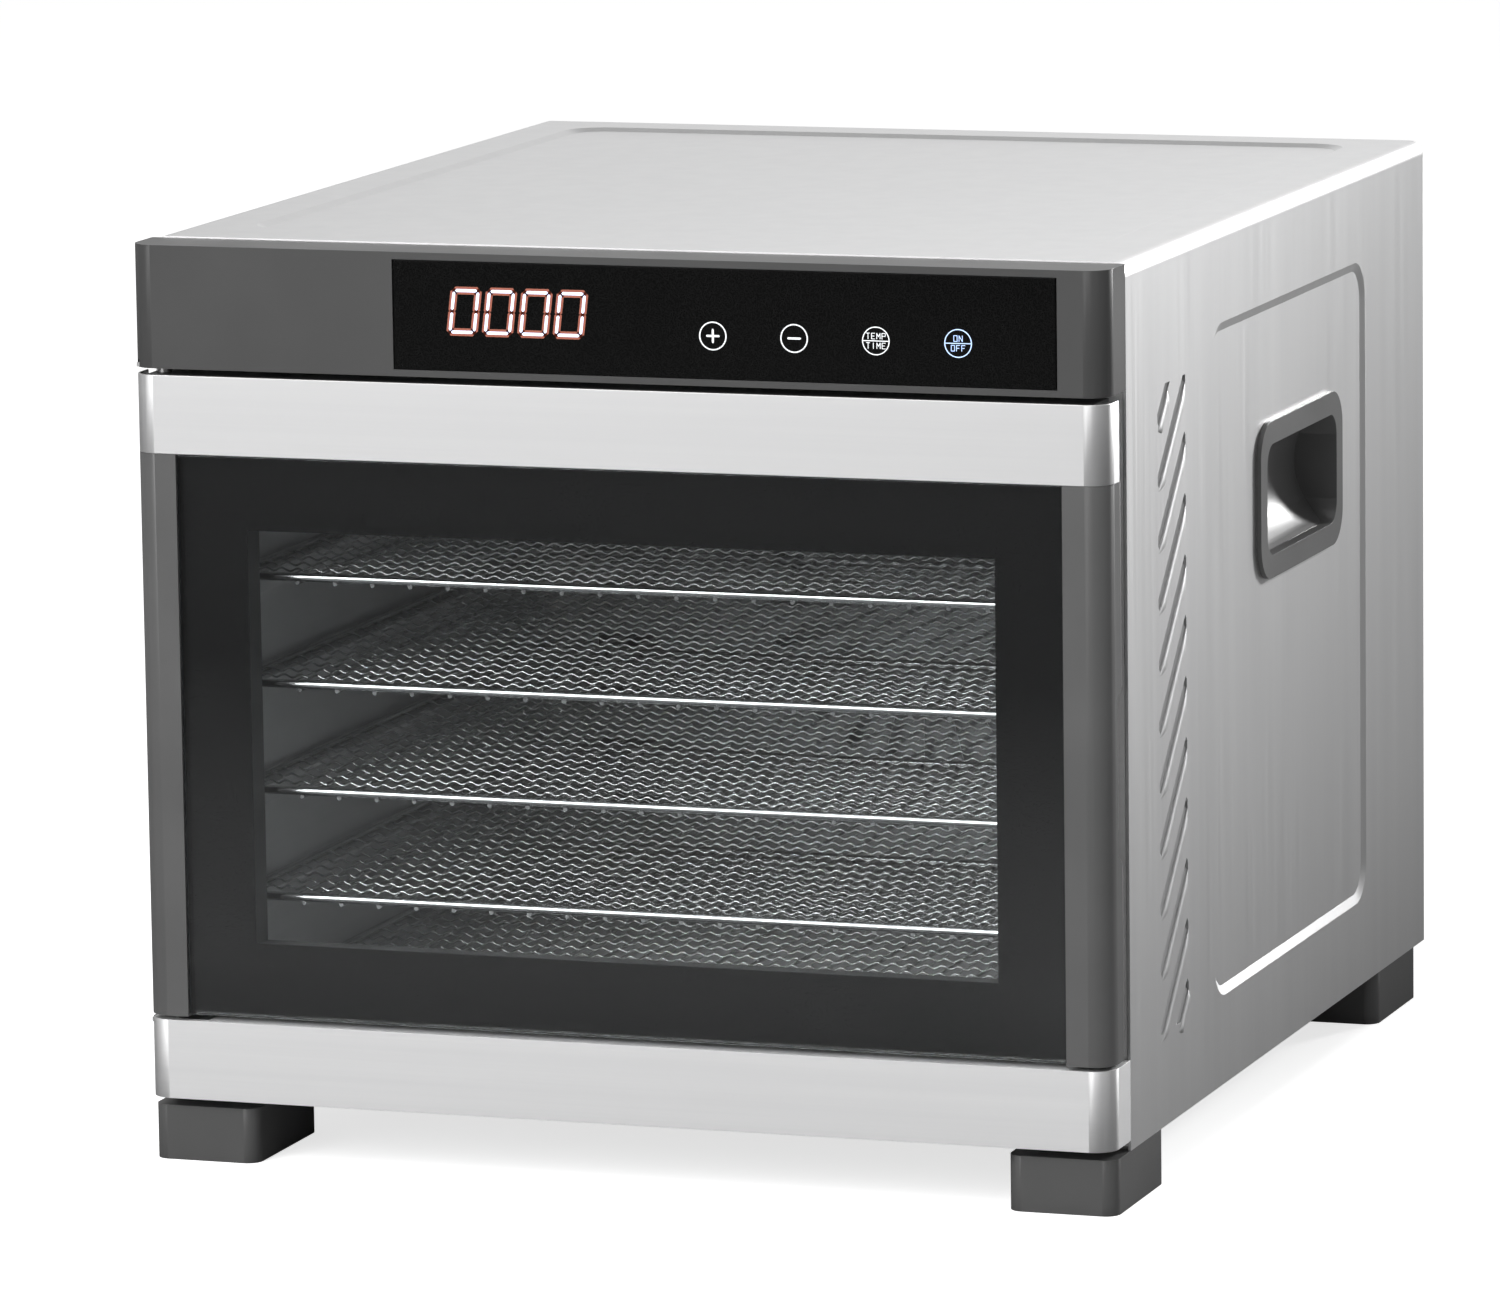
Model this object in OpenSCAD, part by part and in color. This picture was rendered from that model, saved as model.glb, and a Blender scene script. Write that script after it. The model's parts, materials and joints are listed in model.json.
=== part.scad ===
// Food dehydrator with six sliding trays, a glass door and a rear fan.
// X runs right, Y runs to the back, Z runs up; the origin is under the middle of the cabinet.

/* [Overall] */
// Outside width of the sheet steel cabinet
body_w = 345; // [280:1:420]
// Height of the cabinet's top above the ground
body_h = 317; // [280:1:390]
// Depth of the sheet steel wrapper, front edge to back edge
shell_d = 379; // [310:1:460]
// How far the door and the front trims stand in front of the wrapper
front_d = 22; // [20:0.5:28]
// Height of the feet
foot_h = 19; // [12:0.5:30]

/* [Sheet metal] */
// Thickness of the outer sheet
sheet = 1.0; // [0.6:0.1:1.5]
// Bend radius along the top edges
bend_r = 5; // [2:0.5:8]
// Depth of the pressed panels
press_depth = 1.2; // [1:0.1:2.4]
// Width of the slope round a pressed panel
press_slope = 3.2; // [2:0.1:8]
// Corner radius of the pressed panels
press_r = 14; // [10:1:25]
// Flat margin left and right of the top panel
top_margin = 22; // [15:1:40]
// Thickness of the cavity walls
liner_t = 1.0; // [0.6:0.1:1.5]
// Thickness of the front plate
frame_t = 1.2; // [0.8:0.1:2]

/* [Louvres] */
// Distance of the louvres from the wrapper's front edge
louvre_y = 36; // [25:1:60]
// Length of a louvre along the side
louvre_run = 33; // [20:1:45]
// Height step from one louvre to the next
louvre_pitch = 20.8; // [15:0.1:30]
// Width of the slot
louvre_w = 4; // [2.5:0.1:6]
// How far the louvres stay above the wrapper's lower edge
louvre_low = 32; // [20:1:60]

/* [Handles] */
// Length of a grip's rim
grip_l = 106; // [90:1:130]
// Height of a grip's rim
grip_h = 55; // [45:1:70]
// Width of the rim round the opening
grip_rim = 8; // [5:0.5:10]
// Depth of the finger cup
grip_depth = 16; // [12:1:18]
// Distance of a grip from the wrapper's front edge
grip_y = 159; // [150:1:190]
// Height of a grip's lower edge above the ground
grip_z = 186; // [150:1:200]

/* [Front] */
// Height of the control fascia
fascia_h = 42; // [38:0.5:55]
// Gap between the fascia and the door
door_gap_top = 2.2; // [1.5:0.1:4]
// Height of the steel band along the door's top
band_h = 27; // [20:0.5:36]
// Height of the steel trim under the door
trim_h = 27.4; // [22:0.2:36]
// Gap between the door and the lower trim
door_gap_low = 1.4; // [0.8:0.1:3]
// Width of the posts at the sides of the door
post_w = 15.6; // [13:0.2:22]
// Radius of the front vertical edges
edge_r = 8; // [4:0.5:9]
// Wall thickness of the moulded front parts
wall = 2.2; // [1.6:0.1:3]
// Thickness of the steel bands
band_t = 0.8; // [0.5:0.1:1.2]
// Thickness of the door glass
glass_t = 4; // [3:0.1:5]
// Width of the dark print beside the window
print_w = 24; // [18:0.5:32]
// Height of the dark print below and above the window
print_h = 25.4; // [18:0.5:34]
// Length of the touch panel
touch_l = 232.7; // [180:0.1:240]
// Clearance round the door's hinge pins
pin_fit = 0.05; // [0.01:0.01:0.1]
// Diameter of the hinge pins
pin_d = 5; // [4:0.1:6]

/* [Trays] */
// Number of trays
tray_count = 6; // [2:1:6]
// Height step from tray to tray
tray_pitch = 37; // [30:0.5:45]
// Diameter of the rim wire
rim_wire = 3; // [2.4:0.1:4]
// Diameter of the support wires
rib_wire = 1.6; // [1.2:0.1:2]
// Distance between support wires
rib_pitch = 13.7; // [10:0.1:20]
// Distance between the cross wires of the screen
row_pitch = 12.6; // [8:0.1:20]
// Gap between a tray's side and the cavity wall
tray_side_gap = 1.0; // [0.6:0.1:2]
// Gap between a tray and what it slides on
tray_rest_gap = 0.3; // [0.3:0.05:0.6]
// Width of the shelf ribs
shelf_w = 8; // [6:0.5:10]
// Depth of a tray
tray_d = 306; // [240:1:320]

/* [Fan and heater] */
// Radius of the fan wheel
fan_r = 72; // [55:1:78]
// Diameter of the motor
motor_d = 62; // [50:1:70]
// Diameter of the motor's shaft
shaft_d = 6; // [5:0.1:8]
// Clearance between the shaft and the motor's bearing
shaft_fit = 0.05; // [0.01:0.01:0.1]
// Radius of the ring heater
heater_r = 88; // [80:1:92]
// Diameter of the heater's tube
heater_d = 6.5; // [5:0.5:8]
// Bore of the cord gland
gland_bore = 7.5; // [6:0.1:9]

/* [Hidden] */
$fn = 48;
gap = 0.3;
door_lap = 9.3;
half_w = body_w / 2;
y_face = -(shell_d + front_d) / 2;
y_shell = y_face + front_d;
y_end = y_shell + shell_d;
y_door_back = y_shell - 3;
z_shell = foot_h;
z_fascia = body_h - 0.5 - fascia_h;
z_door_top = z_fascia - door_gap_top;
z_band = z_door_top - band_h;
z_trim = foot_h + 3.4;
z_trim_top = z_trim + trim_h;
z_door = z_trim_top + door_gap_low;
z_base = foot_h;
base_t = 1.0;
x_post = half_w - post_w;
x_glass = x_post - gap;
z_glass = z_door + 0.8;
z_glass_top = z_band - 0.2;
x_window = x_glass - print_w;
z_window = z_glass + print_h;
z_window_top = z_glass_top - print_h;
pin_x = -half_w + 8.5;
pin_y = y_face + 9.5;
pin_r = pin_d / 2;
bracket_t = 1.5;
inner_w = half_w - 21.5;
z_floor = z_door - 4;
z_ceiling = z_door_top - door_lap;
y_frame = y_shell + 0.5;
y_liner = y_frame + frame_t;
y_baffle = y_liner + 318;
z_first = z_trim_top + rib_wire + rim_wire / 2 - 0.5 + 0.4;
z_fan = (z_floor + z_ceiling) / 2 - 8;
y_back = y_end - 8.5;
back_t = 1.2;
y_coil = y_baffle + 12.8;
y_motor = y_back - 24;
x_rim = inner_w - tray_side_gap - rim_wire / 2;
y_rim = y_liner + 2.8;
rim_corner = 10;
mesh_t = 1.0;
blade_t = 0.8;
blade_w = 5;
grip_r = 13;
x_press = half_w - press_depth;
x_cup = half_w + 0.7;
x_cup_floor = x_press - grip_depth;
z_touch = z_fascia + 2.3;
touch_h = fascia_h - 4.8;
touch_t = 1.9;
x_touch = half_w - 16.8 - touch_l;
y_panel = y_face + touch_t + 0.1;
x_display = x_touch + 44.6;
z_display = z_touch + touch_h / 2 + 1.7;
display_w = 52;
display_h = 20;
y_board = y_panel + 10.4;
key_x0 = x_touch + 113.6;
key_step = 28.4;
recess_z = z_door + 63;
recess_h = 66;
recess_d = 9;
gland_x = half_w - 52.5;
gland_z = foot_h + 26;
gland_r = gland_bore / 2;
gland_wall = 2.05;
vent_count = 24;
screw_r = 2;
foot_w = 38;
foot_l = 57;
foot_r = 5;
foot_x = half_w - foot_w / 2;
foot_y_front = y_shell - 17.5 + foot_l / 2;
foot_y_rear = y_end - 10.8 - foot_l / 2;

function tray_z(n) = z_first + (n - 1) * tray_pitch;

// ---- helpers ----

// A box given by its two corners.
module span(a, b) {
  translate(a) cube(b - a);
}

// A flat rectangle with round corners, from exact arcs.
module rrect(w, h, r) {
  square([w - 2 * r, h], center = true);
  square([w, h - 2 * r], center = true);
  for (sx = [-1, 1]) for (sy = [-1, 1])
    translate([sx * (w / 2 - r), sy * (h / 2 - r)]) circle(r);
}

// The section of a pressed panel's hollow, w wide at z = 0.
module pan_section(w, depth, slope) {
  flare = slope / depth;
  polygon([[-w / 2 - flare, 1], [w / 2 + flare, 1], [w / 2 - slope, -depth], [slope - w / 2, -depth]]);
}

// A pressed panel's hollow below z = 0, wide side up, with round corners of radius press_r.
module pan(w, d, depth, slope) {
  rotate([90, 0, 0]) linear_extrude(d - 2 * press_r, center = true) pan_section(w, depth, slope);
  rotate([90, 0, 90]) linear_extrude(w - 2 * press_r, center = true) pan_section(d, depth, slope);
  for (sx = [-1, 1]) for (sy = [-1, 1])
    translate([sx * (w / 2 - press_r), sy * (d / 2 - press_r), -depth])
      cylinder(r1 = press_r - slope, r2 = press_r + slope / depth, h = depth + 1);
}

// A cylinder along Y from y0 to y1.
module rod_y(x, z, r, y0, y1) {
  translate([x, y0, z]) rotate([-90, 0, 0]) cylinder(r = r, h = y1 - y0);
}

// The plan outline of the front parts: round front corners, open to the back.
module front_plan(inset, y_rear, r) {
  w = half_w - inset;
  y0 = y_face + inset;
  translate([-w, y0 + r]) square([2 * w, y_rear - y0 - r]);
  translate([-w + r, y0]) square([2 * w - 2 * r, r + 1]);
  for (s = [-1, 1]) translate([s * (w - r), y0 + r]) circle(r);
}

// A front cap: the plan outline as a shell that is open at the back.
module front_cap(z0, z1, t, y_rear) {
  difference() {
    translate([0, 0, z0]) linear_extrude(z1 - z0) front_plan(0, y_rear, edge_r);
    translate([0, 0, z0 + t]) linear_extrude(z1 - z0 - 2 * t)
      front_plan(t, y_rear + 1, edge_r - t);
  }
}

// Both sides of the cabinet: children drawn at the right, and their mirror.
module both_sides() {
  children();
  mirror([1, 0, 0]) children();
}

// ---- cabinet sheet metal ----

panel_l = shell_d - 181;
panel_y = y_shell + 100 + panel_l / 2;
panel_h = body_h - foot_h - 65;
panel_z = foot_h + 31 + panel_h / 2;
roof_l = shell_d - 47;
roof_y = y_shell + 29 + roof_l / 2;

// The wrapper's section, inset by t: an upside-down U with round top corners.
module wrap_section(t) {
  w = half_w - t;
  r = bend_r - t;
  translate([-w, z_shell - 1]) square([2 * w, body_h - t - r - z_shell + 1]);
  translate([-w + r, z_shell - 1]) square([2 * w - 2 * r, body_h - t - z_shell + 1]);
  for (s = [-1, 1]) translate([s * (w - r), body_h - t - r]) circle(r);
}

// The wrapper's block with its pressed panels sunk in.
module wrap_block(t) {
  difference() {
    translate([0, y_end, 0]) rotate([90, 0, 0]) linear_extrude(shell_d) wrap_section(t);
    translate([0, roof_y, body_h - t])
      pan(body_w - 2 * top_margin - t, roof_l - t, press_depth, press_slope);
    both_sides() translate([half_w - t, panel_y, panel_z]) rotate([0, 90, 0])
      pan(panel_h - t, panel_l - t, press_depth, press_slope);
  }
}

// One louvre: k steps up, cut through the sheet along its rising line.
module louvre_line(k, w, t, x) {
  run = louvre_run * sqrt(2);
  translate([x, y_shell + louvre_y, z_shell + louvre_low + k * louvre_pitch]) rotate([45, 0, 0])
    translate([-t / 2, 0, -w / 2]) cube([t, run, w]);
}

louvre_top = body_h - 46;
louvre_steps = floor((louvre_top - z_shell - louvre_low) / louvre_pitch);

// The block that the louvres are cut to, larger by t all round.
module louvre_window(t) {
  span([half_w - 8, y_shell + louvre_y - t, z_shell + louvre_low - t],
    [half_w + 2, y_shell + louvre_y + louvre_run + t, louvre_top + t]);
}

module outer_shell() {
  color("silver") {
    difference() {
      wrap_block(0);
      difference() {
        wrap_block(sheet);
        span([-half_w, y_end - 9.6, 0], [half_w, y_end - 8.6, z_shell + 12]);
        both_sides() span([half_w - 13, y_end - 9.6, 0], [half_w, y_end - 8.6, body_h]);
        span([-half_w, y_end - 9.6, body_h - 13], [half_w, y_end - 8.6, body_h]);
      }
      span([-half_w - 1, y_shell - 1, z_shell - 2], [half_w + 1, y_end + 1, z_shell]);
      both_sides() intersection() {
        louvre_window(0);
        union() for (k = [-1:louvre_steps]) louvre_line(k, louvre_w, 4, half_w);
      }
      both_sides() translate([half_w, y_shell + grip_y + grip_l / 2, grip_z + grip_h / 2])
        rotate([90, 0, 90]) linear_extrude(20, center = true)
          rrect(grip_l - grip_rim, grip_h - grip_rim, grip_r - grip_rim / 2);
      for (p = rear_points()) rod_y(p[0], p[1], screw_r - 0.2, y_end - 12, y_end - 5);
    }
    both_sides() intersection() {
      louvre_window(0.6);
      union() for (k = [-1:louvre_steps]) louvre_blade(k);
    }
  }
}

// The bent-in blade along a louvre's lower edge.
module louvre_blade(k) {
  run = louvre_run * sqrt(2);
  translate([half_w - sheet, y_shell + louvre_y, z_shell + louvre_low + k * louvre_pitch])
    rotate([45, 0, 0]) translate([0, 0, -louvre_w / 2 - blade_t]) rotate([0, 50, 0])
      translate([0.5 - blade_w, -0.5, 0]) cube([blade_w, run + 1, blade_t]);
}

function rear_points() = [for (sx = [-1, 1]) for (h = [0.12, 0.5, 0.9])
  [sx * (half_w - 7), z_shell + h * (body_h - z_shell)]];

module back_panel() {
  color("lightgray") difference() {
    span([-half_w + 1.3, y_back, z_shell + 1.3], [half_w - 1.3, y_back + back_t, body_h - 1.3]);
    for (a = [0:vent_count - 1]) rod_vent(a * 360 / vent_count, 42, 72, 2.5, y_back - 1, y_back + 3);
    for (p = rear_points()) rod_y(p[0], p[1], screw_r + 0.2, y_back - 1, y_back + 3);
    rod_y(gland_x, gland_z, gland_r + gland_wall + 0.2, y_back - 1, y_back + 3);
    for (s = [-1, 1]) span([s * 40 - 30, y_back - 1, z_shell + 4], [s * 40 - 10, y_back + 3, z_shell + 7]);
  }
}

// A radial slot in a plate that faces along Y.
module rod_vent(a, r0, r1, r, y0, y1) {
  translate([0, y0, z_fan]) rotate([0, a, 0])
    span([r0, 0, -r], [r1, y1 - y0, r]);
}

module base_pan() {
  color("gray") difference() {
    union() {
      span([-half_w + 1.3, y_shell + 2, z_base], [half_w - 1.3, y_back - 1.5, z_base + base_t]);
      both_sides() span([half_w - 2.3, y_shell + 2, z_base + base_t - 0.1],
        [half_w - 1.3, y_back - 1.5, z_base + 14]);
    }
    for (p = foot_points()) translate([p[0], p[1], z_base - 1]) cylinder(r = screw_r + 0.2, h = 4);
    for (i = [0:7]) span([-70 + i * 18, 30, z_base - 1], [-62 + i * 18, 90, z_base + 2]);
  }
}

module front_frame() {
  color("dimgray") difference() {
    span([-half_w + 1.3, y_frame, z_shell + 1.3], [half_w - 1.3, y_frame + frame_t, body_h - 1.3]);
    span([-inner_w, y_frame - 1, z_floor], [inner_w, y_frame + 3, z_ceiling]);
    span([x_touch, y_frame - 1, z_touch], [x_touch + 20, y_frame + 3, z_touch + 20]);
  }
}

module cavity_ceiling() {
  color("gray") span([-inner_w + 0.1, y_liner, z_ceiling], [inner_w - 0.1, y_baffle, z_ceiling + liner_t]);
}

module cavity_floor() {
  color("gray") span([-inner_w + 0.1, y_liner, z_floor - liner_t], [inner_w - 0.1, y_baffle, z_floor]);
}

// A cavity wall with one shelf rib per tray, drawn for the right side.
module liner() {
  color("gray") {
    span([inner_w, y_liner, z_floor - liner_t], [inner_w + liner_t, y_baffle, z_ceiling + liner_t]);
    for (n = [1:tray_count]) translate([inner_w, y_liner, tray_z(n) - rim_wire / 2 - tray_rest_gap])
      rotate([-90, 0, 0]) linear_extrude(y_baffle - y_liner)
        polygon([[0.2, 0], [-shelf_w, 0], [-shelf_w, 1.2], [0.2, 1.2 + min(shelf_w * 1.2, 9)]]);
  }
}

module left_liner() {
  mirror([1, 0, 0]) clipped_liner();
}

module right_liner() {
  clipped_liner();
}

// The lowest rib stops at the cavity floor.
module clipped_liner() {
  difference() {
    liner();
    span([0, y_liner - 1, 0], [inner_w, y_baffle + 1, z_floor]);
  }
}

module rear_baffle() {
  color("gray") difference() {
    span([-inner_w - liner_t, y_baffle, z_floor - liner_t],
      [inner_w + liner_t, y_baffle + liner_t, z_ceiling + liner_t]);
    for (a = [0:vent_count - 1]) rod_vent(a * 360 / vent_count, 28, 62, 2.2, y_baffle - 1, y_baffle + 3);
    for (s = [-1, 1]) for (i = [0:8])
      span([s * 118 - 12, y_baffle - 1, z_floor + 20 + i * 20], [s * 118 + 12, y_baffle + 3, z_floor + 25 + i * 20]);
    rod_y(98, z_ceiling - 14, 2.3, y_baffle - 1, y_baffle + 3);
  }
}

// ---- fan and heater ----

module heater_coil() {
  color("dimgray") translate([0, y_coil, z_fan]) rotate([90, 0, 0])
    rotate_extrude() translate([heater_r, 0]) circle(heater_d / 2);
}

module heater_posts() {
  color("silver") for (a = [45:90:315]) translate([0, y_baffle + liner_t, z_fan]) rotate([0, a, 0])
    span([heater_r - 4, 0, -5], [heater_r + 4, y_coil - heater_d / 2 - y_baffle - liner_t + 0.02, 5]);
}

module fan_motor() {
  color("dimgray") difference() {
    union() {
      rod_y(0, z_fan, motor_d / 2, y_motor + 4, y_back - 2);
      rod_y(0, z_fan, 11, y_motor, y_motor + 4.1);
    }
    rod_y(0, z_fan, shaft_d / 2 + shaft_fit, y_motor - 1, y_back);
  }
}

module motor_bracket() {
  color("silver") difference() {
    union() {
      span([-60, y_back - 2, z_fan - 8], [60, y_back, z_fan + 8]);
      span([-8, y_back - 2, z_fan - 60], [8, y_back, z_fan + 60]);
    }
    rod_y(0, z_fan, 6, y_back - 3, y_back + 1);
  }
}

module fan_shaft() {
  color("silver") rod_y(0, z_fan, shaft_d / 2, y_baffle + 5, y_back - 3);
}

module fan_impeller() {
  y0 = y_baffle + 21;
  color("lightgray") difference() {
    union() {
      rod_y(0, z_fan, fan_r, y0, y0 + 1.2);
      rod_y(0, z_fan, 9, y_baffle + 7, y0 + 1);
      for (a = [0:45:315]) translate([0, y_baffle + 7, z_fan]) rotate([0, a, 0])
        span([8, 0, -0.6], [fan_r - 2, 14.2, 0.6]);
    }
    rod_y(0, z_fan, shaft_d / 2, y_baffle, y0 + 3);
  }
}

module thermal_cutout() {
  color("white") rod_y(-98, z_ceiling - 14, 8, y_baffle + liner_t, y_baffle + liner_t + 7);
}

module temperature_probe() {
  color("silver") {
    rod_y(98, z_ceiling - 14, 2, y_baffle - 4, y_baffle + 14);
    rod_y(98, z_ceiling - 14, 5, y_baffle + liner_t, y_baffle + liner_t + 3);
  }
}

// ---- handles, feet and rear fittings ----

// A grip: a rim on the pressed panel and a cup with a rounded hollow behind it.
module grip_cup() {
  inner_l = grip_l - 2 * grip_rim;
  inner_h = grip_h - 2 * grip_rim;
  cup_w = x_cup - x_cup_floor;
  color("dimgray") translate([0, y_shell + grip_y + grip_l / 2, grip_z + grip_h / 2]) difference() {
    union() {
      translate([x_press, 0, 0]) rotate([90, 0, 90]) linear_extrude(x_cup - x_press)
        rrect(grip_l, grip_h, grip_r);
      translate([x_cup_floor, 0, 0]) rotate([90, 0, 90]) linear_extrude(cup_w - 1)
        rrect(grip_l - grip_rim - 2 * gap, grip_h - grip_rim - 2 * gap, grip_r - grip_rim / 2);
    }
    intersection() {
      translate([x_cup_floor + wall, 0, 0]) rotate([90, 0, 90]) linear_extrude(cup_w)
        rrect(inner_l, inner_h, grip_r - grip_rim + 3);
      translate([x_cup + 10, 0, 2]) rotate([90, 0, 0])
        cylinder(r = x_cup + 10 - x_cup_floor - wall, h = grip_l, center = true, $fn = 96);
    }
  }
}

module right_handle_cup() {
  grip_cup();
}

module left_handle_cup() {
  mirror([1, 0, 0]) grip_cup();
}

function foot_points() = [for (sx = [-1, 1]) for (y = [foot_y_front, foot_y_rear]) [sx * foot_x, y]];

module foot(sx, y) {
  color("dimgray") translate([sx * foot_x, y, 0]) difference() {
    linear_extrude(foot_h) rrect(foot_w, foot_l, foot_r);
    translate([0, 0, -1]) cylinder(r = screw_r + 0.2, h = foot_h + 2);
    translate([0, 0, -1]) cylinder(r = 5.5, h = 8);
  }
}

module foot_front_left() {
  foot(-1, foot_y_front);
}

module foot_front_right() {
  foot(1, foot_y_front);
}

module foot_rear_left() {
  foot(-1, foot_y_rear);
}

module foot_rear_right() {
  foot(1, foot_y_rear);
}

module foot_screws() {
  color("silver") for (p = foot_points()) translate([p[0], p[1], 4]) {
    cylinder(r = 4, h = 3);
    cylinder(r = screw_r, h = foot_h);
  }
}

module rear_screws() {
  color("silver") for (p = rear_points()) {
    rod_y(p[0], p[1], screw_r - 0.2, y_back - 7, y_back + back_t + 1);
    rod_y(p[0], p[1], 3.8, y_back + back_t, y_back + back_t + 2.2);
  }
}

module cord_gland() {
  r = gland_r + gland_wall;
  color("dimgray") difference() {
    union() {
      rod_y(gland_x, gland_z, r, y_back - 7, y_back + 7.5);
      rod_y(gland_x, gland_z, r + 3.2, y_back + back_t, y_back + back_t + 3);
      rod_y(gland_x, gland_z, r + 2.8, y_back - 4.5, y_back);
    }
    rod_y(gland_x, gland_z, gland_r, y_back - 8, y_back + 9);
  }
}

// ---- front trims and controls ----

module bottom_trim() {
  color("lightgray") difference() {
    front_cap(z_trim, z_trim_top, band_t, y_shell - 0.2);
    span([-half_w + 0.5, y_face + 2.5, z_trim_top - 2], [-half_w + 22, y_shell, z_trim_top + 1]);
  }
}

module control_fascia() {
  color("dimgray") difference() {
    union() {
      front_cap(z_fascia, z_fascia + fascia_h, wall, y_shell - 0.2);
      span([x_touch - 3, y_face + 1, z_fascia + 1], [x_touch + touch_l + 3, y_panel + 1.6, z_fascia + fascia_h - 1]);
      for (x = [x_touch + 6, x_touch + touch_l - 6]) for (z = [z_touch + 6, z_touch + touch_h - 6])
        rod_y(x, z, 3, y_panel + 1, y_board);
    }
    span([x_touch, y_face - 1, z_touch], [x_touch + touch_l, y_panel, z_touch + touch_h]);
    translate([x_display, y_panel, z_display])
      cube([display_w + 1, 12, display_h + 1], center = true);
    for (i = [0:3]) rod_y(key_x0 + i * key_step, z_touch + 14.6, 4.6, y_panel - 1, y_panel + 4);
    span([-half_w + 0.5, y_face + 2.5, z_fascia - 1], [-half_w + 22, y_shell, z_fascia + wall + 0.4]);
  }
}

module touch_panel() {
  color("black") span([x_touch + 0.3, y_face, z_touch + 0.3],
    [x_touch + touch_l - 0.3, y_face + touch_t, z_touch + touch_h - 0.3]);
}

module display_module() {
  color("black") span([x_display - display_w / 2, y_face + touch_t + 0.1, z_display - display_h / 2],
    [x_display + display_w / 2, y_board, z_display + display_h / 2]);
}

module key_springs() {
  color("silver") for (i = [0:3])
    rod_y(key_x0 + i * key_step, z_touch + 14.6, 3.6, y_face + touch_t, y_board);
}

module control_board() {
  color("darkgreen") span([x_touch + 2, y_board, z_touch + 2],
    [x_touch + touch_l - 2, y_board + 1.6, z_touch + touch_h - 2]);
}

module power_board() {
  z0 = z_ceiling + liner_t + 6;
  color("darkgreen") {
    span([30, 0, z0], [130, 90, z0 + 1.6]);
    for (p = [[40, 10], [120, 10], [40, 80], [120, 80]])
      translate([p[0], p[1], z_ceiling + liner_t]) cylinder(r = 3, h = 6.2);
    span([44, 20, z0 + 1.5], [72, 48, z0 + 24]);
    translate([98, 32, z0 + 1.5]) cylinder(r = 9, h = 20);
    span([86, 56, z0 + 1.5], [112, 70, z0 + 16]);
  }
}

// A hinge bracket: a bored plate with a tab that bears on the cabinet's front plate.
module hinge_bracket(z0, up) {
  color("silver") difference() {
    union() {
      span([-half_w + 1, y_face + 3, z0], [-half_w + 21.5, y_frame - 0.02, z0 + bracket_t]);
      span([-half_w + 2.8, y_shell - 0.6, up ? z0 : z0 - 14],
        [-half_w + 21.5, y_frame - 0.02, up ? z0 + 16 : z0 + bracket_t]);
    }
    translate([pin_x, pin_y, z0 - 1]) cylinder(r = pin_r + pin_fit, h = bracket_t + 2);
  }
}

module hinge_bracket_top() {
  hinge_bracket(z_fascia, true);
}

module hinge_bracket_bottom() {
  hinge_bracket(z_trim_top - bracket_t, false);
}

module catch_plates() {
  color("silver") for (h = [0.2, 0.8]) {
    z = z_door + h * (z_band - z_door);
    span([half_w - 14, y_frame - 0.9, z - 12], [half_w - 5, y_frame, z + 12]);
  }
}

// ---- door ----

module post(side) {
  front_c = half_w - edge_r;
  back_r = 5;
  difference() {
    intersection() {
      translate([0, 0, z_door]) linear_extrude(z_band - z_door) difference() {
        front_plan(0, y_door_back, edge_r);
        translate([half_w - back_r, y_door_back - back_r]) square(back_r + 1);
      }
      span([x_post, y_face - 1, z_door], [half_w + 1, y_door_back + 1, z_band]);
    }
    for (z = [z_door - 1, z_band - 30]) if (side < 0)
      translate([-pin_x, pin_y, z]) cylinder(r = pin_r, h = 31);
  }
  translate([half_w - back_r, y_door_back - back_r, z_door]) intersection() {
    cylinder(r = back_r, h = z_band - z_door);
    span([0, 0, -1], [back_r + 1, back_r + 1, z_band]);
  }
}

module door_left_post() {
  color("dimgray") mirror([1, 0, 0]) post(-1);
}

module door_right_post() {
  color("dimgray") difference() {
    post(1);
    translate([half_w, y_door_back, recess_z]) rotate([0, -90, 0]) linear_extrude(18, center = true)
      polygon([[0, 1], [0, -0.6], [7, -recess_d], [recess_h - 7, -recess_d],
        [recess_h, -0.6], [recess_h, 1]]);
  }
}

// The rail behind the steel band: a channel that is open to the back.
module door_top_rail() {
  t = band_t + 0.1;
  color("dimgray") difference() {
    translate([0, 0, z_band]) linear_extrude(z_door_top - z_band) intersection() {
      front_plan(t, y_door_back, edge_r - t);
      translate([-half_w + 5, y_face]) square([body_w - 10, front_d]);
    }
    span([-half_w + 30, y_face + 5, z_band + 3], [half_w - 14, y_door_back + 1, z_door_top - 3]);
    translate([pin_x, pin_y, z_band - 1]) cylinder(r = pin_r, h = band_h + 2);
  }
}

module door_top_band() {
  color("lightgray") translate([0, 0, z_band]) linear_extrude(z_door_top - z_band) difference() {
    front_plan(0, y_door_back - 5, edge_r);
    front_plan(band_t, y_door_back, edge_r - band_t);
  }
}

module door_glass() {
  color([0.7, 0.75, 0.78, 0.35]) span([-x_glass, y_face + 0.5, z_glass],
    [x_glass, y_face + 0.5 + glass_t, z_glass_top]);
}

module door_glass_print() {
  y0 = y_face + 0.5 + glass_t;
  color("black") difference() {
    span([-x_glass, y0, z_glass], [x_glass, y0 + 0.3, z_glass_top]);
    span([-x_window, y0 - 1, z_window], [x_window, y0 + 2, z_window_top]);
  }
}

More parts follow.
